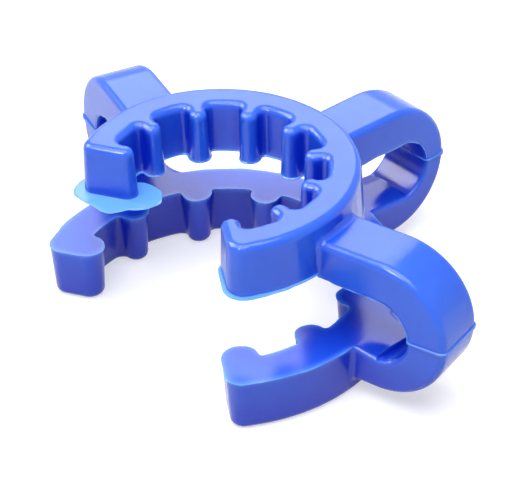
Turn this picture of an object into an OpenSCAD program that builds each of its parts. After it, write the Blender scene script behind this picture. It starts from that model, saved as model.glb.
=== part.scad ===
// Ground glass joint clip: one moulding that holds a cone joint in its socket.
// Both rings share the Z axis and open towards -Y, and z = 0 is the underside.

/* [Upper ring] */
// Outer radius of the upper ring, at its parting face
upper_outer_r = 13.7; // [12.5:0.05:17]
// Thickness of the upper ring's wall, at its parting face
upper_wall = 3.45; // [2.6:0.05:4.2]
// Height of the upper ring
upper_h = 5.3; // [4.2:0.1:7]
// Radius of the circle through the upper ribs' tips, at the parting face
upper_tip_r = 8.3; // [6.5:0.05:9]
// Width of an upper rib
upper_rib_w = 2.1; // [1.7:0.05:2.6]
// Width of the upper ring's two end ribs
upper_end_rib_w = 2.1; // [1.7:0.05:3]
// Direction of the end ribs, from the back of the ring
upper_end_angle = 120; // [112:0.5:124]
// Radius of the outer corner at the right-hand end
upper_right_corner_r = 1.75; // [1:0.05:2.5]
// Radius of the outer corner at the left-hand end
upper_left_corner_r = 1.3; // [1:0.05:2.5]
// Draft of the upper ring's walls, in degrees
upper_draft = 2.2; // [0.5:0.1:3.5]
// Radius of the upper ring's top edges
upper_edge_r = 0.75; // [0.3:0.05:1]

/* [Lower ring] */
// Outer radius of the lower ring, at its parting face
lower_outer_r = 17.15; // [15.5:0.05:21]
// Thickness of the lower ring's wall, at its parting face
lower_wall = 3.45; // [2.6:0.05:4.2]
// Height of the lower ring
lower_h = 5.45; // [4.6:0.05:7]
// Radius of the circle through the lower ribs' tips, at the parting face
lower_tip_r = 11.8; // [9.8:0.05:12.5]
// Width of a lower rib
lower_rib_w = 2.9; // [2.2:0.05:3.5]
// Width of the lower ring's two end ribs
lower_end_rib_w = 3.3; // [2.4:0.05:4]
// Direction of the end ribs, from the back of the ring
lower_end_angle = 121; // [114:0.5:124]
// Radius of the outer corners at the ends
lower_corner_r = 1.55; // [1:0.05:2.5]
// Draft of the lower ring's walls, in degrees
lower_draft = 3; // [0.5:0.1:3.5]
// Radius of the lower ring's bottom edges
lower_edge_r = 0.7; // [0.3:0.05:1]

/* [Both rings] */
// Free height between the two rings
ring_gap = 6.75; // [5.5:0.05:9]
// Ribs on each side of the back rib, with the end rib
ribs_per_side = 4; // [3:1:4]
// Angle from one rib to the next
rib_pitch = 30; // [24:0.5:32]
// Fillet radius where a rib meets its ring
rib_fillet_r = 0.45; // [0.2:0.05:0.6]

/* [Bows] */
// Direction of the side bows, from the back bow
side_bow_angle = 75; // [60:1:90]
// Width of a bow
bow_w = 5.7; // [4:0.1:7]
// Reach of the right-hand bow past the lower ring
right_bow_projection = 9.15; // [8:0.05:13]
// Reach of the left-hand bow past the lower ring
left_bow_projection = 10.35; // [8:0.05:13]
// Reach of the back bow past the lower ring
back_bow_projection = 9.65; // [8:0.05:13]
// Thickness of a side bow at its outer end
side_bow_wall = 3.85; // [2:0.05:4]
// Thickness of the back bow at its outer end
back_bow_wall = 2.45; // [2:0.05:4]
// Thickness of a bow's upper arm
upper_arm_t = 4; // [3:0.05:4.5]
// Thickness of a bow's lower arm
lower_arm_t = 3.35; // [2.6:0.05:3.8]
// Drop of the upper arm's underside below the upper ring
arm_drop = 0.7; // [0.2:0.05:1.2]
// Height of the lower arm's underside
arm_z = 1.6; // [0.8:0.05:2]
// Radius of a bow's outer edges
bow_edge_r = 0.65; // [0.3:0.05:1]
// Radius of a bow's inner edges
loop_edge_r = 0.4; // [0.2:0.05:0.6]
// Length of a lower arm's flat top past the start of the loop's bend
shelf_past_bend = 0.9; // [0.3:0.05:1.2]
// Radius of the gusset behind each side bow, in its corner with the lower ring
gusset_r = 3.2; // [1:0.1:3.5]

/* [Moulding flash] */
// Thickness of the flash skirt under the upper ring's left-hand end
skirt_t = 0.15; // [0.1:0.05:0.4]
// Radius of the skirt round the end rib's tip
skirt_tip_r = 2.3; // [1.5:0.05:3]
// Radius of the skirt round the end of the ring's wall
skirt_wall_r = 2.5; // [2:0.05:3]
// Radius of the skirt's tongue
skirt_tongue_r = 1.9; // [1:0.05:3]
// Distance from the end rib's centre line to the tongue's centre
skirt_tongue_out = 1.45; // [0.5:0.05:3]

/* [Hidden] */
$fn = 72;

upper_z = lower_h + ring_gap;
loop_top_z = upper_z - arm_drop;
bow_top_z = loop_top_z + upper_arm_t;
loop_bottom_z = arm_z + lower_arm_t;
// Overshoot of a cut past the face it opens
cut = 1;
// A fillet or corner arc is this much larger than its radius, so that it crosses both its faces
arc_swell = 1.03;
// A root fillet opens out by this share of its walls' draft, so that it crosses them all the way up
fillet_opening = 0.85;
// Angle by which a corner arc runs on into the walls on either side
arc_overlap = 12;
// Length by which a straight wall runs on into the next piece of the moulding
overlap = 0.06;
// An arm's root lies within its ring's wall over the whole width and height of the arm
upper_root_r = root_radius(upper_outer_r, bow_top_z - upper_z, upper_draft);
lower_root_r = root_radius(lower_outer_r, lower_h - arm_z, lower_draft);

// Distance from the Z axis to the root of an arm that reaches h past its ring's parting face
function root_radius(outer_r, h, draft) =
    sqrt(pow(outer_r - h * tan(draft), 2) - pow(bow_w / 2, 2)) - overlap;
// Largest edge radius up to r that leaves a flat top on a wall
function edge_that_fits(r, half_w, h, draft) = min(r, 0.9 * (half_w - h * tan(draft)));

// Turns its children's +X to the direction that lies angle from the back of the clip
module at(angle) {
    rotate([0, 0, 90 - angle]) children();
}

// Sweeps a section along +X, with the section's Y upright
module sweep_x(length) {
    rotate([90, 0, 90]) linear_extrude(length) children();
}

// Section of a drafted wall: its parting face is on y = 0, and its edges at y = h are rounded
module wall_section(half_w, h, draft, edge_r) {
    top_w = half_w - (edge_r + (h - edge_r) * sin(draft)) / cos(draft);
    side_w = top_w + edge_r * cos(draft);
    side_h = h - edge_r + edge_r * sin(draft);
    polygon([
        [-half_w, 0], [half_w, 0], [side_w, side_h],
        [top_w, h], [-top_w, h], [-side_w, side_h]
    ]);
    for (side = [-1, 1])
        translate([side * top_w, h - edge_r]) circle(r = edge_r);
}

// The half of a wall's section at x > 0
module half_wall_section(half_w, h, draft, edge_r) {
    intersection() {
        wall_section(half_w, h, draft, edge_r);
        translate([0, -cut]) square([half_w + cut, h + 2 * cut]);
    }
}

// One rib along +X, from its round tip to outer_x
module rib(tip_r, width, outer_x, h, draft, edge_r) {
    edge = edge_that_fits(edge_r, width / 2, h, draft);
    translate([tip_r + width / 2, 0, 0]) {
        rotate_extrude(start = 90, angle = 180) half_wall_section(width / 2, h, draft, edge);
        sweep_x(outer_x - tip_r - width / 2) wall_section(width / 2, h, draft, edge);
    }
}

// Fillet between a rib's +Y side and the ring's inner wall, up to where their top edges round over
module rib_root(width, inner_r, h, draft, edge_r) {
    centre_y = width / 2 + rib_fillet_r;
    centre_x = sqrt(pow(inner_r - rib_fillet_r, 2) - pow(centre_y, 2));
    turn = atan2(centre_y, centre_x);
    reach = rib_fillet_r + width / 4;
    fillet_h = h - edge_r;
    arc_r = rib_fillet_r * arc_swell;
    arc_growth = fillet_opening * tan(draft);
    difference() {
        linear_extrude(fillet_h)
            polygon([
                [centre_x, centre_y], [centre_x, centre_y - reach],
                [centre_x + reach, centre_y - reach],
                [centre_x + reach * cos(turn), centre_y + reach * sin(turn)]
            ]);
        translate([centre_x, centre_y, -cut])
            cylinder(
                r1 = arc_r - cut * arc_growth, r2 = arc_r + (fillet_h + cut) * arc_growth,
                h = fillet_h + 2 * cut
            );
    }
}

// Ring of a given wall, open at the front, with ribs inside and its parting face on z = 0
module ribbed_ring(
    outer_r, wall, h, tip_r, rib_w, end_rib_w, end_angle, left_corner_r, right_corner_r,
    draft, edge_r
) {
    inner_r = outer_r - wall;
    mid_r = outer_r - wall / 2;
    // Angle from the end rib back to where the outer corner starts
    function corner_angle(corner_r) = asin((corner_r - end_rib_w / 2) / (outer_r - corner_r));
    right_end = end_angle - corner_angle(right_corner_r);
    left_end = end_angle - corner_angle(left_corner_r);
    run_on = asin(overlap / outer_r);
    rotate_extrude(start = 90 - right_end - run_on, angle = right_end + left_end + 2 * run_on)
        translate([mid_r, 0]) wall_section(wall / 2, h, draft, edge_r);
    for (i = [1 - ribs_per_side : ribs_per_side - 1])
        at(i * rib_pitch) {
            rib(tip_r, rib_w, mid_r, h, draft, edge_r);
            for (side = [0, 1])
                mirror([0, side, 0]) rib_root(rib_w, inner_r, h, draft, edge_r);
        }
    for (side = [0, 1])
        mirror([side, 0, 0])
            at(end_angle)
                ring_end(
                    outer_r, inner_r, side == 0 ? right_corner_r : left_corner_r,
                    h, tip_r, end_rib_w, draft, edge_r
                );
}

// End of a ring: the last rib along +X, with its outer corner rounded towards -Y
module ring_end(outer_r, inner_r, corner_r, h, tip_r, width, draft, edge_r) {
    centre_y = corner_r - width / 2;
    centre_x = sqrt(pow(outer_r - corner_r, 2) - pow(centre_y, 2));
    turn = 90 + atan2(centre_y, centre_x);
    rib(tip_r, width, centre_x + overlap, h, draft, edge_r);
    rib_root(width, inner_r, h, draft, edge_r);
    translate([centre_x, centre_y, 0])
        rotate_extrude(start = -90 - arc_overlap, angle = turn + 2 * arc_overlap)
            half_wall_section(corner_r * arc_swell, h, draft, edge_r);
}

// Rectangle about the origin with rounded corners
module rounded_rectangle(half_w, half_h, r) {
    square([2 * half_w, 2 * (half_h - r)], center = true);
    square([2 * (half_w - r), 2 * half_h], center = true);
    for (x = [-1, 1], y = [-1, 1])
        translate([x * (half_w - r), y * (half_h - r)]) circle(r = r);
}

// Slot's section that opens out at both sides of a wall, leaving that wall's edges rounded
module flared_slot(half_w, half_h, r) {
    square([2 * (half_w + cut), 2 * half_h], center = true);
    for (x = [0, 1], y = [0, 1])
        mirror([x, 0]) mirror([0, y])
            difference() {
                translate([half_w - r, half_h - r]) square([r + cut, 2 * r]);
                translate([half_w - r, half_h + r]) circle(r = r * arc_swell);
            }
}

// Sweeps a section along +X to x = length, then half a turn about Y at mid_z
module stadium_sweep(start_x, end_x, mid_z, half_w, half_h) {
    translate([start_x, 0, mid_z]) sweep_x(end_x - start_x) children();
    translate([end_x, 0, mid_z])
        rotate([90, 0, 0])
            rotate_extrude(start = -90, angle = 180)
                intersection() {
                    rotate([0, 0, 90]) children();
                    translate([0, -half_w - 2 * cut]) square([half_h, 2 * half_w + 4 * cut]);
                }
}

// One bow along +X: a C-shaped strap from the lower ring out and back to the upper ring
module bow(projection, end_wall) {
    reach = lower_outer_r + projection;
    bend_r = (bow_top_z - arm_z) / 2;
    loop_r = (loop_top_z - loop_bottom_z) / 2;
    difference() {
        stadium_sweep(upper_root_r, reach - bend_r, arm_z + bend_r, bow_w / 2, bend_r)
            rounded_rectangle(bow_w / 2, bend_r, bow_edge_r);
        stadium_sweep(
            upper_root_r - cut, reach - end_wall - loop_r, loop_bottom_z + loop_r,
            bow_w / 2, loop_r + 2 * loop_edge_r
        )
            flared_slot(bow_w / 2, loop_r, loop_edge_r);
        translate([upper_root_r - cut, -bow_w / 2 - cut, arm_z - cut])
            cube([lower_root_r - upper_root_r + cut, bow_w + 2 * cut, loop_top_z - arm_z]);
    }
    arm_shelf(reach - end_wall - loop_r + shelf_past_bend);
}

// Flat top of a lower arm, level with the lower ring's parting face
module arm_shelf(end_x) {
    shelf_w = bow_w - loop_edge_r / 2;
    translate([lower_root_r, -shelf_w / 2, loop_bottom_z - overlap])
        cube([end_x - lower_root_r, shelf_w, lower_h - loop_bottom_z + overlap]);
}

// Gusset in the corner between the lower ring's wall and an arm's +Y side
module root_gusset() {
    centre_y = bow_w / 2 + gusset_r;
    centre_x = sqrt(pow(lower_outer_r + gusset_r, 2) - pow(centre_y, 2));
    turn = atan2(centre_y, centre_x);
    reach = gusset_r + 2 * overlap + lower_h * tan(lower_draft);
    arc_growth = fillet_opening * tan(lower_draft);
    gusset_z = arm_z + bow_edge_r;
    translate([0, 0, gusset_z])
        difference() {
            linear_extrude(lower_h - gusset_z)
                polygon([
                    [centre_x, centre_y], [centre_x, centre_y - reach],
                    [centre_x - reach * cos(turn), centre_y - reach],
                    [centre_x - reach * cos(turn), centre_y - reach * sin(turn)]
                ]);
            translate([centre_x, centre_y, -cut])
                cylinder(
                    r1 = gusset_r + overlap / 2 + (lower_h - gusset_z + cut) * arc_growth,
                    r2 = gusset_r + overlap / 2 - cut * arc_growth,
                    h = lower_h - gusset_z + 2 * cut
                );
        }
}

// Thin flash on the parting plane round the upper ring's left-hand end
module flash_skirt() {
    wall_x = upper_outer_r - upper_wall / 2;
    mirror([1, 0, 0])
        at(upper_end_angle)
            linear_extrude(skirt_t) {
                translate([upper_tip_r, 0]) circle(r = skirt_tip_r);
                translate([wall_x, 0]) circle(r = skirt_wall_r);
                translate([(upper_tip_r + wall_x) / 2, -skirt_tongue_out])
                    circle(r = skirt_tongue_r);
            }
}

module upper_ring() {
    translate([0, 0, upper_z]) {
        ribbed_ring(
            upper_outer_r, upper_wall, upper_h, upper_tip_r, upper_rib_w, upper_end_rib_w,
            upper_end_angle, upper_left_corner_r, upper_right_corner_r, upper_draft,
            upper_edge_r
        );
        flash_skirt();
    }
}

module lower_ring() {
    translate([0, 0, lower_h])
        mirror([0, 0, 1])
            ribbed_ring(
                lower_outer_r, lower_wall, lower_h, lower_tip_r, lower_rib_w,
                lower_end_rib_w, lower_end_angle, lower_corner_r, lower_corner_r,
                lower_draft, lower_edge_r
            );
}

module clip() {
    color("royalblue") {
        upper_ring();
        lower_ring();
        at(0) bow(back_bow_projection, back_bow_wall);
        for (side = [0, 1])
            mirror([side, 0, 0])
                at(side_bow_angle) {
                    bow([right_bow_projection, left_bow_projection][side], side_bow_wall);
                    root_gusset();
                }
    }
}

clip();
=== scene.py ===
import math

import bpy
import numpy as np
from mathutils import Matrix, Vector


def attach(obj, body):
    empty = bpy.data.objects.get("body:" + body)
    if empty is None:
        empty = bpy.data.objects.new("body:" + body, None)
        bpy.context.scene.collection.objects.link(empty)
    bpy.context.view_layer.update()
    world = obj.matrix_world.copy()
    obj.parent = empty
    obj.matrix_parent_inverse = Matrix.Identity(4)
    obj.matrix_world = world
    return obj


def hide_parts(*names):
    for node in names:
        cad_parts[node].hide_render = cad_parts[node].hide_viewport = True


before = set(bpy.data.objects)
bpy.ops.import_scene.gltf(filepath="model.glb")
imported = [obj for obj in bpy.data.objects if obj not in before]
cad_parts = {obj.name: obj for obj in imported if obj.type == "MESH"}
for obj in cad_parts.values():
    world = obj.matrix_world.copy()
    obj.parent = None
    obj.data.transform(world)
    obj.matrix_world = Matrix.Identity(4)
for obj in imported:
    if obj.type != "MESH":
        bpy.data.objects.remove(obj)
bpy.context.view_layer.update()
# The clip's sizes are in mm and its angles in degrees. The camera's distance, the table
# and the lamps are in metres.
MM = 0.001


# ---- Camera ----
# A long lens looks down at the clip from the front right, so that the open
# mouths of both rings, their ribs and the right-hand bow all face it.
camera = bpy.data.objects.new("camera", bpy.data.cameras.new("camera"))
camera.data.lens = 147.96
camera.data.clip_start = 0.01
bpy.context.collection.objects.link(camera)
bpy.context.scene.camera = camera


def camera_pose(azimuth, elevation, roll, distance, target):
    """Camera's place, looking at target from an azimuth (0 looks along +Y) and an elevation."""
    az, el, turn = (math.radians(a) for a in (azimuth, elevation, roll))
    back = Vector((math.sin(az) * math.cos(el), -math.cos(az) * math.cos(el), math.sin(el)))
    level = Vector((math.cos(az), math.sin(az), 0))
    up = back.cross(level)
    right = math.cos(turn) * level + math.sin(turn) * up
    top = math.cos(turn) * up - math.sin(turn) * level
    place = target + back * distance
    return Matrix.Translation(place) @ Matrix((right, top, back)).transposed().to_4x4()


camera.matrix_world = camera_pose(
    azimuth=51.092, elevation=35.653, roll=-1.987, distance=0.1966,
    target=Vector((1.808, 3.102, 8.508)) * MM,
)  # fmt: skip


# ---- Ribbed rings ----
# The two rings that grip the cone and the socket: open blue plastic rings with
# ribs inside, each tapering away from the flat face where its mould half shut,
# with a hair of flash squeezed out along that face's edge.

# tips is how far the ribs' tips stand from the axis, and face_z is the height of the
# parting face. Near spill_at the flash is wider by spill. The upper ring's left-hand
# end stands in by nip, which starts nip_from degrees round.
UPPER = {
    "outer": 13.7, "wall": 3.45, "height": 5.3, "tips": 8.3, "rib": 2.1,
    "end_rib": 2.1, "end_angle": 120, "right_corner": 1.75, "left_corner": 1.3,
    "draft": 2.2, "edge": 0.75, "face_z": 12.2, "spill": 0.28, "spill_at": (10.9, -7.8, 0),
    "nip": 0.5, "nip_from": 68,
}  # fmt: skip
LOWER = {
    "outer": 17.15, "wall": 3.45, "height": 5.45, "tips": 11.8, "rib": 2.9,
    "end_rib": 3.3, "end_angle": 121, "right_corner": 1.55, "left_corner": 1.55,
    "draft": 3.0, "edge": 0.7, "face_z": 5.45, "spill": 0.06, "spill_at": (14.6, -9.2, 0),
}  # fmt: skip
BACK = 90  # Degrees round from +X to the middle of the clip's back
RIB_PITCH = 30
RIBS_EACH_SIDE = 3
ROOT_FILLET = 0.45
# Support is the narrow band of flat wall that keeps the shading crisp beside each bend
RING_FLASH = {"width": 0.15, "thickness": 0.09, "support": 0.08}
SPILL_REACH = 9.0
# The longest facets: a turn and a length on arcs, and a length on straight walls
ARC_TURN, ARC_STEP, WALL_STEP = 9, 0.45, 0.6


def blue_acetal():
    """Tough blue plastic: glossy, a little clear below its skin, with a faint moulded ripple; its colour
    carries painted shade in corners and under the upper ring, and painted light that makes thin edges and
    flash paler.
    """
    material = bpy.data.materials.new("blue_plastic")
    material.use_nodes = True
    nodes, links = material.node_tree.nodes, material.node_tree.links
    shader = next(n for n in nodes if n.type == "BSDF_PRINCIPLED")
    place = nodes.new("ShaderNodeTexCoord").outputs["Object"]

    def noise(scale):
        made = nodes.new("ShaderNodeTexNoise")
        made.inputs["Scale"].default_value = scale
        made.inputs["Detail"].default_value = 3.0
        links.new(place, made.inputs["Vector"])
        return made.outputs[0]

    def ramp(value, *stops):
        made = nodes.new("ShaderNodeValToRGB")
        while len(made.color_ramp.elements) < len(stops):
            made.color_ramp.elements.new(1.0)
        for element, (at, colour) in zip(made.color_ramp.elements, stops):
            element.position = at
            element.color = (*colour, 1)
        links.new(value, made.inputs["Fac"])
        return made.outputs["Color"]

    def closeness(reach, inside):
        """1 on open plastic, less where other faces lie within reach, in the air or in the plastic."""
        made = nodes.new("ShaderNodeAmbientOcclusion")
        made.inputs["Distance"].default_value = reach * MM
        made.inside, made.samples = inside, 12
        return made.outputs["AO"]

    def blend(share, first, second):
        """From a colour to a linked one."""
        made = nodes.new("ShaderNodeMix")
        made.data_type = "RGBA"
        start, end = (socket for socket in made.inputs if socket.type == "RGBA")
        start.default_value = (*first, 1)
        links.new(second, end)
        links.new(share, made.inputs[0])
        return next(socket for socket in made.outputs if socket.type == "RGBA")

    def eased(value, low, high):
        made = nodes.new("ShaderNodeMapRange")
        made.interpolation_type = "SMOOTHSTEP"
        made.inputs["From Min"].default_value = low
        made.inputs["From Max"].default_value = high
        links.new(value, made.inputs["Value"])
        return made.outputs["Result"]

    # Painted shade: a deep blue where other faces lie near in the air, in corners, recesses and under the
    # upper ring. Painted light: paler blues where the plastic is thin, at sharp edges and flash, as if light
    # shone through it
    painted_shade_blue, painted_edge_glow_blue = (0.002, 0.026, 0.56), (0.08, 0.26, 0.90)
    painted_flash_glow_blue, painted_hair_glow_blue = (0.13, 0.34, 0.90), (0.14, 0.40, 0.92)
    open_blue = ramp(noise(180.0), (0.3, (0.016, 0.115, 0.76)), (0.7, (0.024, 0.140, 0.84)))
    # Painted shade: darker, deeper blue where other faces lie within 12 mm in the air
    tint = blend(eased(closeness(12.0, inside=False), 0.4, 0.97), painted_shade_blue, open_blue)
    thickness = closeness(0.8, inside=True)
    # Painted light: paler blues where the plastic is thin, at rounded edges, the seam and the flash
    tint = blend(eased(thickness, 0.25, 0.95), painted_edge_glow_blue, tint)
    tint = blend(eased(thickness, 0.0, 0.35), painted_flash_glow_blue, tint)
    tint = blend(eased(closeness(0.3, inside=True), 0.05, 0.65), painted_hair_glow_blue, tint)
    links.new(tint, shader.inputs["Base Color"])
    gloss = nodes.new("ShaderNodeMapRange")
    gloss.inputs["To Min"].default_value = 0.13
    gloss.inputs["To Max"].default_value = 0.25
    links.new(noise(900.0), gloss.inputs["Value"])
    links.new(gloss.outputs["Result"], shader.inputs["Roughness"])
    ripple = nodes.new("ShaderNodeBump")
    ripple.inputs["Strength"].default_value = 0.25
    ripple.inputs["Distance"].default_value = 0.05 * MM
    links.new(noise(320.0), ripple.inputs["Height"])
    links.new(ripple.outputs["Normal"], shader.inputs["Normal"])
    shader.inputs["IOR"].default_value = 1.48
    shader.inputs["Subsurface Weight"].default_value = 0.35
    shader.inputs["Subsurface Radius"].default_value = (0.3, 0.6, 1.0)
    shader.inputs["Subsurface Scale"].default_value = 1.2 * MM
    return material


def arc(centre, radius, start, end, hollow=False):
    """Points round an arc in degrees, each with the direction out of the plastic."""
    sweep = abs(end - start)
    by_length = sweep * math.pi / 180 * radius / ARC_STEP
    steps = max(2, math.ceil(sweep / ARC_TURN), math.ceil(by_length))
    turns = np.radians(np.linspace(start, end, steps + 1))
    out = np.stack([np.cos(turns), np.sin(turns)], 1)
    return np.hstack([np.array(centre) + radius * out, -out if hollow else out])


def straight(start, end):
    """Points along a wall, with the plastic on its left."""
    start, end = np.array(start, float), np.array(end, float)
    along = end - start
    steps = max(1, math.ceil(np.linalg.norm(along) / WALL_STEP))
    out = np.array([along[1], -along[0]]) / np.linalg.norm(along)
    points = start + np.linspace(0, 1, steps + 1)[:, None] * along
    return np.hstack([points, np.tile(out, (steps + 1, 1))])


def turned(run, degrees):
    """A run of outline turned about the ring's axis."""
    c, s = math.cos(math.radians(degrees)), math.sin(math.radians(degrees))
    turn = np.array([[c, s], [-s, c]])
    return np.hstack([run[:, :2] @ turn, run[:, 2:] @ turn])


def ring_outline(ring):
    """Closed outline of a ring's parting face, as points and outward directions."""
    inner = ring["outer"] - ring["wall"]

    def rib_runs(width, root_before, root_after):
        half, reach = width / 2, inner - ROOT_FILLET
        tip_x = ring["tips"] + half
        # A root fillet meets the rib's flat side, or the round tip of a short rib
        y = half + ROOT_FILLET
        x = math.sqrt(reach**2 - y**2)
        side = 90
        if x < tip_x:
            x = (reach**2 - y**2 + tip_x**2) / (2 * tip_x)
            y = math.sqrt(reach**2 - x**2)
            side = math.degrees(math.atan2(y, x - tip_x))
        turn = math.degrees(math.atan2(y, x))
        runs = []
        if root_before:
            runs.append(arc((x, y), ROOT_FILLET, turn, side - 180, hollow=True))
            if side == 90:
                runs.append(straight((x, half), (tip_x, half)))
        start, end = side if root_before else 90, 360 - side if root_after else 270
        runs.append(arc((tip_x, 0), half, start, end))
        if root_after:
            if side == 90:
                runs.append(straight((tip_x, -half), (x, -half)))
            runs.append(arc((x, -y), ROOT_FILLET, 180 - side, -turn, hollow=True))
        return runs, turn

    def corner(radius):
        """Centre of a rounded corner at a ring's end, and how far round it stands."""
        centre_y = radius - ring["end_rib"] / 2
        centre_x = math.sqrt((ring["outer"] - radius) ** 2 - centre_y**2)
        return centre_x, centre_y, math.degrees(math.atan2(centre_y, centre_x))

    half = ring["end_rib"] / 2
    tip_x = ring["tips"] + half
    left, right = BACK + ring["end_angle"], BACK - ring["end_angle"]
    x_left, y_left, turn_left = corner(ring["left_corner"])
    x_right, y_right, turn_right = corner(ring["right_corner"])
    outline = [arc((0, 0), ring["outer"], right + turn_right, left - turn_left)]
    outline.append(turned(arc((x_left, -y_left), ring["left_corner"], -turn_left, 90), left))
    outline.append(turned(straight((x_left, half), (tip_x, half)), left))
    runs, turn = rib_runs(ring["end_rib"], root_before=False, root_after=True)
    outline += [turned(r, left) for r in runs]
    wall_start = left - turn
    for i in range(RIBS_EACH_SIDE, -RIBS_EACH_SIDE - 1, -1):
        runs, turn = rib_runs(ring["rib"], root_before=True, root_after=True)
        at = BACK + i * RIB_PITCH
        outline.append(arc((0, 0), inner, wall_start, at + turn, hollow=True))
        outline += [turned(r, at) for r in runs]
        wall_start = at - turn
    runs, turn = rib_runs(ring["end_rib"], root_before=True, root_after=False)
    outline.append(arc((0, 0), inner, wall_start, right + turn, hollow=True))
    outline += [turned(r, right) for r in runs]
    outline.append(turned(straight((tip_x, -half), (x_right, -half)), right))
    outline.append(turned(arc((x_right, y_right), ring["right_corner"], -90, turn_right), right))
    # Each run starts on the last point of the one before, which is left out here
    points = np.vstack(outline)
    gap = np.linalg.norm(points[:, :2] - np.roll(points[:, :2], 1, axis=0), axis=1)
    return points[gap > 1e-4]


def face_from_outline(name, points):
    """A mesh of one flat face, which keeps each corner's outward direction."""
    mesh = bpy.data.meshes.new(name)
    mesh.from_pydata([(x * MM, y * MM, 0) for x, y in points[:, :2]], [], [range(len(points))])
    outward = mesh.attributes.new("outward", "FLOAT_VECTOR", "POINT")
    directions = np.hstack([points[:, 2:], np.zeros((len(points), 1))])
    outward.data.foreach_set("vector", directions.ravel())
    return mesh


class Bench:
    """Short hand for laying out one Geometry Nodes tree with named sizes."""

    def __init__(self, name, sizes, places=()):
        self.tree = bpy.data.node_groups.new(name, "GeometryNodeTree")
        face = self.tree.interface
        face.new_socket("Geometry", in_out="INPUT", socket_type="NodeSocketGeometry")
        for label in sizes:
            face.new_socket(label, in_out="INPUT", socket_type="NodeSocketFloat")
        for label in places:
            face.new_socket(label, in_out="INPUT", socket_type="NodeSocketVector")
        face.new_socket("Geometry", in_out="OUTPUT", socket_type="NodeSocketGeometry")
        self.given = self.tree.nodes.new("NodeGroupInput").outputs

    def node(self, kind, inputs=(), **settings):
        made = self.tree.nodes.new(kind)
        for key, value in settings.items():
            setattr(made, key, value)
        for key, value in dict(inputs).items():
            self.join(value, made.inputs[key])
        return made

    def join(self, value, socket):
        if isinstance(value, bpy.types.Node):
            value = next(o for o in value.outputs if o.enabled)
        if isinstance(value, bpy.types.NodeSocket):
            self.tree.links.new(value, socket)
        else:
            socket.default_value = value

    def maths(self, operation, *values):
        return self.node("ShaderNodeMath", enumerate(values), operation=operation)

    def plus(self, first, second):
        return self.maths("ADD", first, second)

    def less(self, first, second):
        return self.maths("SUBTRACT", first, second)

    def times(self, first, second):
        return self.maths("MULTIPLY", first, second)

    def times_plus(self, first, second, added):
        return self.maths("MULTIPLY_ADD", first, second, added)

    def vector(self, operation, *values):
        return self.node("ShaderNodeVectorMath", enumerate(values), operation=operation)

    def scaled(self, vector, size):
        return self.node("ShaderNodeVectorMath", {"Vector": vector, "Scale": size}, operation="SCALE")

    def combine(self, x, y, z):
        return self.node("ShaderNodeCombineXYZ", {0: x, 1: y, 2: z})

    def mix(self, share, first, second):
        return self.node("ShaderNodeMix", {"Factor": share, "A": first, "B": second})

    def attribute(self, name, kind):
        made = self.node("GeometryNodeInputNamedAttribute", {"Name": name}, data_type=kind)
        return made.outputs["Attribute"]

    def eased(self, value, low, high, top=1.0):
        """0 at low and top at high, with a soft start and end."""
        return self.node(
            "ShaderNodeMapRange",
            {"Value": value, "From Min": low, "From Max": high, "To Max": top},
            interpolation_type="SMOOTHSTEP",
        ).outputs[0]  # fmt: skip

    def patchy(self, scale, low, high, least):
        """From least to 1 along the plastic, in patches that come and go with the seed."""
        spots = {"Scale": scale, "W": self.given["Seed"], "Detail": 3.0}
        noise = self.node("ShaderNodeTexNoise", spots, noise_dimensions="4D")
        return self.times_plus(self.eased(noise, low, high), 1.0 - least, least)


def finished(name, source, bench, result, sizes, material):
    """Ends a tree in real faces of a material, runs it on a mesh and returns the plain mesh."""
    real = bench.node("GeometryNodeRealizeInstances", {"Geometry": result})
    painted = bench.node("GeometryNodeSetMaterial", {"Geometry": real, "Material": material})
    bench.join(painted, bench.node("NodeGroupOutput").inputs[0])
    work = bpy.data.objects.new(name, source)
    bpy.context.collection.objects.link(work)
    live = work.modifiers.new(name, "NODES")
    live.node_group = bench.tree
    for item in bench.tree.interface.items_tree:
        if item.in_out == "INPUT" and item.name != "Geometry":
            live[item.identifier] = sizes[item.name]
    graph = bpy.context.evaluated_depsgraph_get()
    mesh = bpy.data.meshes.new_from_object(work.evaluated_get(graph))
    bpy.data.objects.remove(work)
    return mesh


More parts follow.
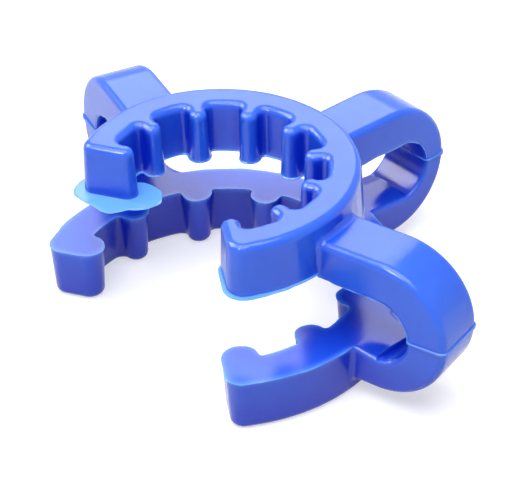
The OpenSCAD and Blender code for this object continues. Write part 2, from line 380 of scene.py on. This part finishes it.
def moulded_wall_tree():
    """Grows a parting face into a wall: flash lip, tapering side and a rounded top edge."""
    b = Bench("moulded_wall", [
        "Height", "Draft", "Edge radius", "Flash width", "Flash thickness", "Support", "Seed",
        "Spill width", "Spill reach",
    ], ["Spill place"])  # fmt: skip
    g = b.given
    height, draft, edge, flash = (g[s] for s in ("Height", "Draft", "Edge radius", "Flash width"))
    outward = b.attribute("outward", "FLOAT_VECTOR")
    # How far out the flash reaches here: in patches, and further near the spill's place,
    # where it is at its widest from a fifth of the reach inwards
    away = b.vector("DISTANCE", b.node("GeometryNodeInputPosition"), g["Spill place"]).outputs["Value"]
    spill = b.eased(away, g["Spill reach"], b.times(g["Spill reach"], 0.2), top=g["Spill width"])
    patches = b.patchy(scale=420.0, low=0.42, high=0.66, least=0.15)
    lip = b.plus(b.times(flash, patches), spill)
    first = b.node("GeometryNodeSetPosition", {
        "Geometry": g["Geometry"], "Offset": b.scaled(outward, lip)})  # fmt: skip
    begin = b.tree.nodes.new("GeometryNodeRepeatInput")
    end = b.tree.nodes.new("GeometryNodeRepeatOutput")
    begin.pair_with_output(end)
    for label, kind in (("Inset", "FLOAT"), ("Level", "FLOAT"), ("Top", "BOOLEAN")):
        end.repeat_items.new(kind, label)
    row = begin.outputs["Iteration"]
    # The rows of points up the wall: flash, its root, foot, shoulder, rounded edge, flat top
    root_share = 1.8  # How many times as thick the flash is at its root as at its tip
    sine, cosine, tangent = (b.maths(f, draft) for f in ("SINE", "COSINE", "TANGENT"))
    straight_h = b.less(height, edge)
    flash_root = b.times(g["Flash thickness"], root_share)
    foot = b.plus(flash_root, g["Support"])
    shoulder = b.less(b.times_plus(edge, sine, straight_h), g["Support"])
    flat = b.maths("DIVIDE", b.times_plus(straight_h, sine, edge), cosine)
    # The rounded edge turns from the wall's draft to the flat top
    edge_rows, rows_below = 9, 4
    along = b.maths("DIVIDE", b.less(row, float(rows_below)), edge_rows - 1.0)
    turn = b.times_plus(along, b.less(math.pi / 2, draft), draft)
    edge_inset = b.less(flat, b.times(edge, b.maths("COSINE", turn)))
    edge_level = b.times_plus(edge, b.maths("SINE", turn), straight_h)
    flash_inset = b.times(flash, -1.0)
    levels = [g["Flash thickness"], flash_root, foot, shoulder, *[edge_level] * edge_rows, height]
    insets = [flash_inset, *(b.times(z, tangent) for z in (flash_root, foot, shoulder))]
    insets += [*[edge_inset] * edge_rows, b.plus(flat, g["Support"])]

    def by_row(values):
        pick = b.node("GeometryNodeIndexSwitch", data_type="FLOAT")
        while len(pick.index_switch_items) < len(values):
            pick.index_switch_items.new()
        b.join(row, pick.inputs["Index"])
        for i, value in enumerate(values):
            b.join(value, pick.inputs[i + 1])
        return pick

    level, inset = by_row(levels), by_row(insets)
    b.join(len(levels), begin.inputs["Iterations"])
    raised = b.node("GeometryNodeExtrudeMesh", {
        "Mesh": begin.outputs["Geometry"], "Selection": begin.outputs["Top"],
        "Offset Scale": 0.0, "Individual": False}, mode="FACES")  # fmt: skip
    # The flash row keeps its patchy width, and the rows above it are even
    patch = b.times(b.less(lip, flash), b.maths("COMPARE", row, 1.0, 0.1))
    step = b.less(b.less(begin.outputs["Inset"], inset), patch)
    rise = b.less(level, begin.outputs["Level"])
    move = b.vector("ADD", b.scaled(outward, step), b.combine(0.0, 0.0, rise))
    placed = b.node("GeometryNodeSetPosition", {
        "Geometry": raised.outputs["Mesh"], "Selection": raised.outputs["Top"], "Offset": move})  # fmt: skip
    carried = {
        "Geometry": (first, placed), "Inset": (flash_inset, inset), "Level": (0.0, level),
        "Top": (True, raised.outputs["Top"]),
    }  # fmt: skip
    for label, (at_first, after) in carried.items():
        b.join(at_first, begin.inputs[label])
        b.join(after, end.inputs[label])
    # Extruding leaves the parting face open, so the face itself closes it
    whole = b.tree.nodes.new("GeometryNodeJoinGeometry")
    b.join(b.node("GeometryNodeFlipFaces", {"Mesh": first}), whole.inputs[0])
    b.join(end.outputs["Geometry"], whole.inputs[0])
    return b, b.node("GeometryNodeMergeByDistance", {"Geometry": whole, "Distance": 0.001 * MM})


def moulded(name, outline, seed, height, draft, edge, flash, spill=0.0, spill_at=(0, 0, 0)):
    """A wall grown upwards from an outline on z = 0, with flash round its foot and draft in radians."""
    bench, wall = moulded_wall_tree()
    return finished(name, face_from_outline(name, outline), bench, wall, {
        "Height": height * MM, "Draft": draft, "Edge radius": edge * MM, "Seed": seed,
        "Flash width": flash["width"] * MM, "Flash thickness": flash["thickness"] * MM,
        "Support": flash["support"] * MM, "Spill width": spill * MM,
        "Spill reach": SPILL_REACH * MM, "Spill place": [c * MM for c in spill_at],
    }, acetal)  # fmt: skip


def ring_mesh(name, ring, seed):
    """One ring, grown upwards from its parting face on z = 0."""
    return moulded(
        name, ring_outline(ring), seed, height=ring["height"], draft=math.radians(ring["draft"]),
        edge=ring["edge"], flash=RING_FLASH, spill=ring["spill"], spill_at=ring["spill_at"],
    )  # fmt: skip


def nip_in(mesh):
    """Draws the upper ring's left-hand end inwards a little, as if it shrank on cooling."""
    places = np.empty(3 * len(mesh.vertices))
    mesh.vertices.foreach_get("co", places)
    places = places.reshape(-1, 3)
    x, y = places[:, 0], places[:, 1]
    # Degrees round to the left from the back, running on past 180
    round_left = np.degrees(np.arctan2(-x, y))
    round_left[round_left < -150] += 360
    share = np.clip((round_left - UPPER["nip_from"]) / (UPPER["end_angle"] - UPPER["nip_from"]), 0, 1)
    shift = UPPER["nip"] * MM * share**2 * (3 - 2 * share) / np.hypot(x, y)
    places[:, :2] *= 1 - shift[:, None]
    mesh.vertices.foreach_set("co", places.ravel())


acetal = blue_acetal()
upper_ring = ring_mesh("upper_ring", UPPER, seed=2.0)
nip_in(upper_ring)
upper_ring.transform(Matrix.Translation((0, 0, UPPER["face_z"] * MM)))
lower_ring = ring_mesh("lower_ring", LOWER, seed=7.0)
hung_below = Matrix.Translation((0, 0, LOWER["face_z"] * MM)) @ Matrix.Diagonal((1, 1, -1, 1))
lower_ring.transform(hung_below)
lower_ring.flip_normals()


# ---- Spring bows ----
# Three C-shaped straps of the same plastic join the rings and spring when the clip
# is pushed on. Each is moulded round a slide, whose halves leave a raised line of
# flash across the bend and along the loop's upper edge, and fillets tie it in.

# root is where an arm starts, inside its ring's wall. The seam is the flash across the
# bend and the lip the flash along the loop's edge. The shelf is the lower arm's flat
# top, whose end moves along by shelf_slant for each mm across.
BOW = {
    "width": 5.7, "top_z": 15.5, "loop_top_z": 11.5, "loop_bottom_z": 4.95, "bottom_z": 1.6,
    "side_angle": 75, "right_reach": 26.3, "left_reach": 27.5, "back_reach": 26.8,
    "side_wall": 3.85, "back_wall": 2.45,
    "outer_edge": 0.65, "loop_edge": 0.4, "fillet": 0.5, "gusset": 3.2,
    "upper_root": 13.15, "lower_root": 16.0, "root_length": 1.7, "root_step": 0.07,
    "seam_z": 8.3, "seam": 0.22, "seam_pull": 60, "seam_foot": 1.8, "seam_top": 1.0,
    "lip_share": 0.6, "lip_from": 1.2, "lip_fade": 0.6,
    "shelf_z": 5.448, "shelf_past_bend": 0.9, "step_slope": 0.14, "shelf_slant": 0.26, "slant_from": 38,
}  # fmt: skip


def strap_stations(reach, end_wall):
    """The strap's stations from the upper ring round to the lower, with sizes in x and z."""
    bend_r = (BOW["top_z"] - BOW["bottom_z"]) / 2
    loop_r = (BOW["loop_top_z"] - BOW["loop_bottom_z"]) / 2
    outer_x, outer_z = reach - bend_r, BOW["top_z"] - bend_r
    inner_x, inner_z = reach - end_wall - loop_r, BOW["loop_top_z"] - loop_r
    arm_rows, upper_rows, lower_rows, shelf_rows = 24, 24, 22, 5
    # The lower arm's flat top runs a little way into the bend and ends in a small step
    shelf_x = inner_x + BOW["shelf_past_bend"]
    step_turn = -math.acos(BOW["shelf_past_bend"] / loop_r)
    step = BOW["shelf_z"] - (inner_z + loop_r * math.sin(step_turn))

    def station(outside, inside, seam=0.0, drop=0.0, slide=0.0, on_bend=0.0, lip=0.0):
        return {"outside": outside, "inside": inside, "seam": seam, "drop": drop, "slide": slide,
                "on_bend": on_bend, "lip": lip}  # fmt: skip

    def shelf_station(outside, x_in):
        along = min(1, max(0, (x_in - LOWER["outer"]) / (shelf_x - LOWER["outer"])))
        return station(outside, (x_in, BOW["shelf_z"]), drop=step * along, slide=along)

    def outer_bend(turn):
        return outer_x + bend_r * math.cos(turn), outer_z + bend_r * math.sin(turn)

    def inner_bend(turn):
        return inner_x + loop_r * math.cos(turn), inner_z + loop_r * math.sin(turn)

    def arm(root):
        """Places along the outside and the inside of an arm, close together at its fillets."""
        clear = root + BOW["root_length"]
        near = np.arange(root, clear, BOW["root_step"])
        x = np.concatenate([near, np.linspace(clear, outer_x, arm_rows)[:-1]])
        x_in = x + np.clip((x - clear) / (outer_x - clear), 0, 1) * (inner_x - outer_x)
        return zip(x, x_in)

    upper = []
    for x, x_in in arm(BOW["upper_root"]):
        lip = min(1, max(0, (x - BOW["upper_root"] - BOW["lip_from"]) / BOW["lip_fade"]))
        upper.append(station((x, BOW["top_z"]), (x_in, BOW["loop_top_z"]), lip=lip))
    lower = [shelf_station((x, BOW["bottom_z"]), x_in) for x, x_in in arm(BOW["lower_root"])]
    seam_out = math.asin((BOW["seam_z"] - outer_z) / bend_r)
    seam_in = math.asin((BOW["seam_z"] - inner_z) / loop_r)
    foot, top = math.radians(BOW["seam_foot"]), math.radians(BOW["seam_top"])
    slant_from = math.radians(BOW["slant_from"])
    turns = [*np.linspace(math.pi / 2, foot, upper_rows), top, -top]
    turns += [*np.linspace(-foot, step_turn, lower_rows)]
    around = []
    for t in turns:
        pull = max(0.0, 1 - abs(t) / math.radians(BOW["seam_pull"]))
        slide = min(1, max(0, (-t - slant_from) / (-step_turn - slant_from)))
        around.append(station(
            outer_bend(t + pull * seam_out), inner_bend(t + pull * seam_in),
            seam=float(abs(t) <= top), slide=slide, on_bend=float(slide > 0), lip=float(t > 0),
        ))  # fmt: skip
    just_past = step_turn - 0.01
    shelf_turns = np.linspace(just_past, -math.pi / 2, shelf_rows)
    shelf_places = np.linspace(shelf_x - BOW["step_slope"], inner_x, shelf_rows)
    around += [shelf_station(outer_bend(t), x_in) for t, x_in in zip(shelf_turns, shelf_places)]
    return upper + around + lower[::-1], (inner_x, inner_z, loop_r)


def strap_section():
    """Points round the section: share of the way from inside to outside, place across from
    -1 to 1, the way the skin faces there, and 1 where flash runs along the loop's edge."""
    quarter = math.pi / 2
    depths = [0.96, 0.5, 0.04]
    widths = [0.95, 0.75, 0.5, 0.25, 0, -0.25, -0.5, -0.75, -0.95]
    corners = [(1, 1), (0, 1), (0, -1), (1, -1)]
    flats = [
        [(share, 1, quarter, 0.0) for share in depths],
        [(0, across, 2 * quarter, 0.0) for across in widths],
        [(share, -1, 3 * quarter, 0.0) for share in reversed(depths)],
        [(1, across, 0, 0.0) for across in reversed(widths)],
    ]
    points = []
    for i, (out, side) in enumerate(corners):
        points += [(out, side, quarter * (i + j / 8), float(out == 0 and j == 4)) for j in range(9)]
        points += flats[i]
    return points


def strap_net(name, stations):
    """A closed tube of points that knows where each one belongs on the strap."""
    section = strap_section()
    rows, round_it = len(stations), len(section)

    def places(side):
        return [(p[side][0] * MM, 0, p[side][1] * MM) for p in stations for _ in section]

    faces = []
    for i in range(rows - 1):
        for j in range(round_it):
            k = (j + 1) % round_it
            here, there = i * round_it, (i + 1) * round_it
            faces.append((here + j, there + j, there + k, here + k))
    faces.append(list(range(round_it)))
    faces.append([(rows - 1) * round_it + j for j in reversed(range(round_it))])
    mesh = bpy.data.meshes.new(name)
    mesh.from_pydata(places("outside"), [], faces)
    inside = mesh.attributes.new("inside", "FLOAT_VECTOR", "POINT")
    inside.data.foreach_set("vector", np.ravel(places("inside")))

    def keep(label, values):
        kept = mesh.attributes.new(label, "FLOAT", "POINT")
        kept.data.foreach_set("value", np.array(values, float))

    for i, label in enumerate(("share", "across", "turn")):
        keep(label, [p[i] for _ in stations for p in section])
    for label, unit in (("drop", MM), ("slide", 1), ("on_bend", 1)):
        keep(label, [p[label] * unit for p in stations for _ in section])
    lip = BOW["lip_share"]
    keep("seam", [max(p["seam"], lip * p["lip"] * flash) for p in stations for *_, flash in section])
    return mesh


def strap_tree():
    """Shapes the net into a strap: rounded edges, a flash seam and fillets at both rings."""
    b = Bench("spring_strap", [
        "Width", "Outer edge radius", "Loop edge radius", "Fillet radius", "Gusset radius",
        "Gusset on left", "Gusset on right", "Shelf slant", "Loop centre X", "Loop centre Z",
        "Loop radius", "Seam height", "Direction", "Upper ring radius", "Upper face", "Upper slope",
        "Lower ring radius", "Lower face", "Lower slope", "Seed",
    ])  # fmt: skip
    g = b.given
    labels = ("share", "across", "turn", "seam", "slide", "drop", "on_bend")
    share, across, turn, seam, slide, drop, on_bend = (b.attribute(s, "FLOAT") for s in labels)
    half_width = b.times(g["Width"], 0.5)
    fillet, outer_edge = g["Fillet radius"], g["Outer edge radius"]

    def third_side(longest, other):
        """Length of the third side of a right-angled triangle."""
        return b.maths("SQRT", b.less(b.times(longest, longest), b.times(other, other)))

    def open_edge(gusset, side):
        """Up to 1 at this side's edge of the arm, unless a gusset fills the corner there."""
        return b.times(b.eased(b.times(across, side), low=0.4, high=1.0), b.less(1.0, gusset))

    # The shelf's end slants across the arm, and its open edges slope down to the loop
    in_x, _, in_z = b.node("ShaderNodeSeparateXYZ", {0: b.attribute("inside", "FLOAT_VECTOR")}).outputs
    in_x = b.plus(in_x, b.times(b.times(g["Shelf slant"], slide), b.times(across, half_width)))
    from_centre = b.less(in_x, g["Loop centre X"])
    loop_floor = b.less(g["Loop centre Z"], third_side(g["Loop radius"], from_centre))
    in_z = b.mix(on_bend, in_z, loop_floor)
    open_edges = b.plus(open_edge(g["Gusset on left"], 1.0), open_edge(g["Gusset on right"], -1.0))
    in_z = b.less(in_z, b.times(drop, open_edges))
    inside = b.combine(in_x, 0.0, in_z)
    through = b.vector("SUBTRACT", b.node("GeometryNodeInputPosition"), inside)
    thickness = b.vector("LENGTH", through).outputs["Value"]
    outwards = b.vector("NORMALIZE", through)

    def push(out, over):
        """So far out of the bend and so far across the strap."""
        return b.vector("ADD", b.scaled(outwards, out), b.combine(0.0, over, 0.0))

    # Each edge is rounded about a centre of its own
    edge = b.mix(b.maths("GREATER_THAN", share, 0.5), g["Loop edge radius"], outer_edge)
    middle = b.mix(share, g["Loop edge radius"], b.less(thickness, outer_edge))
    cosine, sine = b.maths("COSINE", turn), b.maths("SINE", turn)
    depth = b.times_plus(edge, cosine, middle)
    over = b.times_plus(edge, sine, b.times(across, b.less(half_width, edge)))
    place = b.vector("ADD", inside, push(depth, over))
    skin = push(cosine, sine)
    # Fillets: the strap swells upwards and sideways where it runs into a ring's wall
    x, y, z = b.node("ShaderNodeSeparateXYZ", {0: place}).outputs
    from_axis = b.maths("SQRT", b.plus(b.times(x, x), b.times(y, y)))
    top_side = b.maths("MAXIMUM", cosine, 0.0)
    on_left = b.times(b.maths("GREATER_THAN", across, 0.0), g["Gusset on left"])
    on_right = b.times(b.maths("LESS_THAN", across, 0.0), g["Gusset on right"])
    wider = b.less(g["Gusset radius"], fillet)
    gusset = b.times_plus(b.maths("MAXIMUM", on_left, on_right), wider, fillet)

    def quarter_round(radius, near):
        """How far a round of this radius has risen, near being how deep in it a point is."""
        return b.less(radius, third_side(radius, near))

    def clamped(value, high):
        return b.maths("MINIMUM", b.maths("MAXIMUM", value, 0.0), high)

    def fillets(radius, slope, height, side_radius, beside):
        """The swell upwards and the swell sideways at one ring's wall."""
        wall = b.less(radius, b.times(height, slope))
        near = clamped(b.less(fillet, b.less(from_axis, wall)), fillet)
        upward = b.times(b.times(quarter_round(fillet, near), top_side), beside)
        # Seen from above, a side fillet is an arc that touches the arm's side and the ring
        centre_r = b.plus(wall, side_radius)
        centre_x = third_side(centre_r, b.plus(half_width, side_radius))
        touch = b.maths("DIVIDE", b.times(side_radius, centre_x), centre_r)
        near = clamped(b.less(centre_x, x), touch)
        sideways = b.times(b.times(quarter_round(side_radius, near), sine), beside)
        return upward, sideways

    # A fillet stays on its ring's side of the parting face
    upper_z, lower_z = g["Upper face"], g["Lower face"]
    above = b.eased(z, low=b.plus(upper_z, 0.1 * MM), high=b.plus(upper_z, 0.7 * MM))
    below = b.maths("LESS_THAN", z, b.plus(lower_z, 0.2 * MM))
    at_upper = fillets(g["Upper ring radius"], g["Upper slope"], b.less(z, upper_z), fillet, above)
    at_lower = fillets(g["Lower ring radius"], g["Lower slope"], b.less(lower_z, z), gusset, below)
    swell = push(*(b.plus(up, low) for up, low in zip(at_upper, at_lower)))
    patches = b.patchy(scale=380.0, low=0.35, high=0.6, least=0.3)
    ridge = b.times(b.times(seam, g["Seam height"]), patches)
    grown = b.vector("ADD", b.vector("ADD", place, swell), b.scaled(skin, ridge))
    shaped = b.node("GeometryNodeSetPosition", {"Geometry": g["Geometry"], "Position": grown})
    direction = b.combine(0.0, 0.0, g["Direction"])
    return b, b.node("GeometryNodeTransform", {"Geometry": shaped, "Rotation": direction})


def bow_mesh(name, angle, reach, end_wall, seed, gusset=None):
    """One bow, angle degrees round from the back of the clip, with a gusset on one side or none."""
    stations, (loop_x, loop_z, loop_r) = strap_stations(reach, end_wall)
    bench, strap = strap_tree()
    slant = {"left": 1, "right": -1, None: 0}[gusset] * BOW["shelf_slant"]
    return finished(name, strap_net(name, stations), bench, strap, {
        "Direction": math.radians(BACK - angle), "Seed": seed, "Width": BOW["width"] * MM,
        "Outer edge radius": BOW["outer_edge"] * MM, "Loop edge radius": BOW["loop_edge"] * MM,
        "Fillet radius": BOW["fillet"] * MM, "Gusset radius": BOW["gusset"] * MM,
        "Gusset on left": float(gusset == "left"), "Gusset on right": float(gusset == "right"),
        "Shelf slant": slant, "Seam height": BOW["seam"] * MM,
        "Loop centre X": loop_x * MM, "Loop centre Z": loop_z * MM, "Loop radius": loop_r * MM,
        "Upper ring radius": UPPER["outer"] * MM, "Upper face": UPPER["face_z"] * MM,
        "Lower ring radius": LOWER["outer"] * MM, "Lower face": LOWER["face_z"] * MM,
        "Upper slope": math.tan(math.radians(UPPER["draft"])),
        "Lower slope": math.tan(math.radians(LOWER["draft"])),
    }, acetal)  # fmt: skip


side = BOW["side_angle"]
bows = [
    bow_mesh("right_bow", side, BOW["right_reach"], BOW["side_wall"], seed=3.0, gusset="left"),
    bow_mesh("left_bow", -side, BOW["left_reach"], BOW["side_wall"], seed=9.0, gusset="right"),
    bow_mesh("back_bow", 0, BOW["back_reach"], BOW["back_wall"], seed=5.0),
]


# ---- Flash skirt ----
# Where the mould halves stood a little apart round the upper ring's left-hand
# end, the plastic ran out between them into a paper-thin wavy skirt.

# Its outline is three lobes: round the last rib's tip, round the wall's end and a
# tongue that stands out past them. edge_slope is in radians.
SKIRT = {
    "thickness": 0.15, "tip": 2.3, "wall": 2.5, "tongue": 1.9, "tongue_out": 1.45,
    "middle_out": 0.3, "edge": 0.05, "edge_slope": 0.3, "overlap": 0.01,
}  # fmt: skip
SKIRT_FLASH = {"width": 0.25, "thickness": 0.04, "support": 0.01}


def skirt_outline():
    """Rim of the skirt as seen from its middle, softened where its lobes meet."""
    mid_wall = UPPER["outer"] - UPPER["wall"] / 2
    middle = np.array([(UPPER["tips"] + mid_wall) / 2, SKIRT["middle_out"]])
    lobes = [((UPPER["tips"], 0), SKIRT["tip"]), ((mid_wall, 0), SKIRT["wall"]),
             ((middle[0], SKIRT["tongue_out"]), SKIRT["tongue"])]  # fmt: skip
    degrees_apart, softenings = 3.0, 3
    turns = np.radians(np.arange(0, 360, degrees_apart))
    ways = np.stack([np.cos(turns), np.sin(turns)], 1)
    reach = np.zeros(len(turns))
    for centre, radius in lobes:
        to = np.array(centre) - middle
        along = ways @ to
        off = along**2 - to @ to + radius**2
        reach = np.maximum(reach, np.where(off > 0, along + np.sqrt(np.maximum(off, 0)), 0))
    for _ in range(softenings):
        reach = (np.roll(reach, 1) + 2 * reach + np.roll(reach, -1)) / 4
    points = middle + reach[:, None] * ways
    along = np.roll(points, -1, axis=0) - np.roll(points, 1, axis=0)
    out = np.stack([along[:, 1], -along[:, 0]], 1) / np.linalg.norm(along, axis=1)[:, None]
    return turned(np.hstack([points, out]), BACK + UPPER["end_angle"])


skirt = moulded(
    "flash_skirt", skirt_outline(), seed=4.0, height=SKIRT["thickness"],
    draft=SKIRT["edge_slope"], edge=SKIRT["edge"], flash=SKIRT_FLASH,
)  # fmt: skip
skirt.transform(Matrix.Translation((0, 0, (UPPER["face_z"] - SKIRT["overlap"]) * MM)))
nip_in(skirt)


# ---- One moulding ----
# Rings, bows and skirt left the mould as one piece of blue acetal, so they are
# joined into a single closed skin that carries the one glossy plastic.

CRISP_FROM = 38  # Edges that turn by more degrees than this stay crisp


def one_skin(name, base, others, material):
    """Joins closed meshes into one closed skin."""
    piece = bpy.data.objects.new(name, base)
    bpy.context.collection.objects.link(piece)
    tools = []
    for other in others:
        tool = bpy.data.objects.new(other.name, other)
        bpy.context.collection.objects.link(tool)
        join = piece.modifiers.new(other.name, "BOOLEAN")
        join.operation, join.solver, join.object = "UNION", "MANIFOLD", tool
        tools.append(tool)
    graph = bpy.context.evaluated_depsgraph_get()
    mesh = bpy.data.meshes.new_from_object(piece.evaluated_get(graph))
    for used in (*tools, piece):
        bpy.data.objects.remove(used)
    # The joined meshes bring the same plastic more than once
    mesh.materials.clear()
    mesh.materials.append(material)
    skin = bpy.data.objects.new(name, mesh)
    bpy.context.collection.objects.link(skin)
    return skin


clip = one_skin("joint_clip", lower_ring, [upper_ring, *bows, skirt], acetal)
clip.data.shade_smooth()
clip.data.set_sharp_from_angle(angle=math.radians(CRISP_FROM))
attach(clip, "root")
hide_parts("clip")


# ---- Table ----
# A plain white table, which shows a glow of its own wherever the camera sees it,
# so that it reads as white without throwing extra light on the clip.

TABLE_HALF = 1.5


def seen_by_camera(tree):
    """1 on what the camera sees straight, mirrored or through something, and 0 on light cast."""
    ray = tree.nodes.new("ShaderNodeLightPath")
    seen = ray.outputs["Is Camera Ray"]
    for way in ("Is Glossy Ray", "Is Transmission Ray"):
        either = tree.nodes.new("ShaderNodeMath")
        either.operation = "MAXIMUM"
        tree.links.new(seen, either.inputs[0])
        tree.links.new(ray.outputs[way], either.inputs[1])
        seen = either.outputs[0]
    return seen


def white_table():
    material = bpy.data.materials.new("white_table")
    material.use_nodes = True
    tree = material.node_tree
    shader = next(n for n in tree.nodes if n.type == "BSDF_PRINCIPLED")
    shader.inputs["Base Color"].default_value = (0.55, 0.55, 0.55, 1)
    shader.inputs["Roughness"].default_value = 0.6
    shader.inputs["Emission Color"].default_value = (1, 1, 1, 1)
    glow = tree.nodes.new("ShaderNodeMath")
    glow.operation = "MULTIPLY"
    glow.inputs[1].default_value = 0.55
    tree.links.new(seen_by_camera(tree), glow.inputs[0])
    tree.links.new(glow.outputs[0], shader.inputs["Emission Strength"])
    return material


table = bpy.data.meshes.new("table")
corners = [(x * TABLE_HALF, y * TABLE_HALF, 0) for x, y in ((-1, -1), (1, -1), (1, 1), (-1, 1))]
table.from_pydata(corners, [], [(0, 1, 2, 3)])
table.materials.append(white_table())
floor = bpy.data.objects.new("table", table)
bpy.context.collection.objects.link(floor)


# ---- White room and lamps ----
# A white room lit by a broad soft lamp overhead and a weak one behind. Two more
# at the front and the left show only as highlights on the glossy plastic.
world = bpy.data.worlds.new("room")
world.use_nodes = True
bpy.context.scene.world = world
room = world.node_tree.nodes["Background"]
room.inputs["Color"].default_value = (1, 1, 1, 1)
# The room looks fully white but lights the clip with only a third of that
level = world.node_tree.nodes.new("ShaderNodeMapRange")
level.inputs["To Min"].default_value = 0.33
level.inputs["To Max"].default_value = 1.0
world.node_tree.links.new(seen_by_camera(world.node_tree), level.inputs["Value"])
world.node_tree.links.new(level.outputs["Result"], room.inputs["Strength"])


def softbox(name, place, aim, width, depth, power, highlight_only=False):
    """A flat soft lamp that faces its aim, and may show only as a highlight on glossy things."""
    light = bpy.data.lights.new(name, "AREA")
    light.shape, light.size, light.size_y, light.energy = "RECTANGLE", width, depth, power
    lamp = bpy.data.objects.new(name, light)
    bpy.context.collection.objects.link(lamp)
    way = Vector(aim) - Vector(place)
    lamp.matrix_world = Matrix.Translation(place) @ way.to_track_quat("-Z", "Y").to_matrix().to_4x4()
    lamp.visible_diffuse = not highlight_only


softbox("overhead", (0.05, -0.08, 0.42), aim=(0, 0, 0.01), width=0.4, depth=0.4, power=2.4)
softbox("window_behind", (-0.30, 0.27, 0.30), aim=(0, 0.005, 0.01), width=0.28, depth=0.22, power=0.55)
softbox(
    "window_front", (0.05, -0.31, 0.32), aim=(0, 0, 0.01), width=0.14, depth=0.08, power=0.95,
    highlight_only=True,
)  # fmt: skip
softbox(
    "window_left", (-0.27, -0.20, 0.28), aim=(0, 0, 0.01), width=0.30, depth=0.30, power=2.5,
    highlight_only=True,
)  # fmt: skip

bpy.context.scene.view_settings.view_transform = "Standard"
